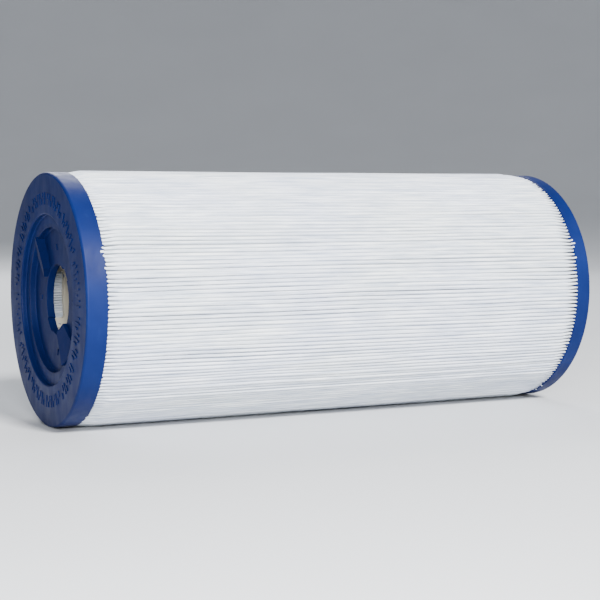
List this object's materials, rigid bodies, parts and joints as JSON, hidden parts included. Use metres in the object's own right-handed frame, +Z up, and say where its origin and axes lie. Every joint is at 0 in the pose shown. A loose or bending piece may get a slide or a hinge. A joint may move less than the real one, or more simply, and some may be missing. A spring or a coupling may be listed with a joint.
{
  "type": "pleated filter cartridge",
  "caption": "Cylindrical pleated filter cartridge with cast end caps, a windowed centre core and a bayonet opening in the front end.",
  "frame": {"origin": "on the bore's axis, halfway between the two end faces", "axes": "X along the bore, with the front (bayonet) end towards -X; +Z up with the cartridge lying on its side; angles in the part run from +Z"},
  "size_m": [0.2834, 0.125, 0.125],
  "materials": {
    "media": "matt spun-bonded polyester",
    "hot_melt": "waxy, translucent",
    "cap_resin": "semi-gloss cast polyurethane",
    "hub_plastic": "semi-gloss moulded",
    "core_plastic": "satin moulded"
  },
  "bodies": {
    "root": {"pleated_media": "media", "media_seam": "hot_melt", "front_end_cap": "cap_resin", "rear_end_cap": "cap_resin", "front_bayonet_hub": "hub_plastic", "rear_hub": "hub_plastic", "core_section_1": "core_plastic", "core_section_2": "core_plastic", "core_section_3": "core_plastic", "core_section_4": "core_plastic"}
  },
  "joints": []
}
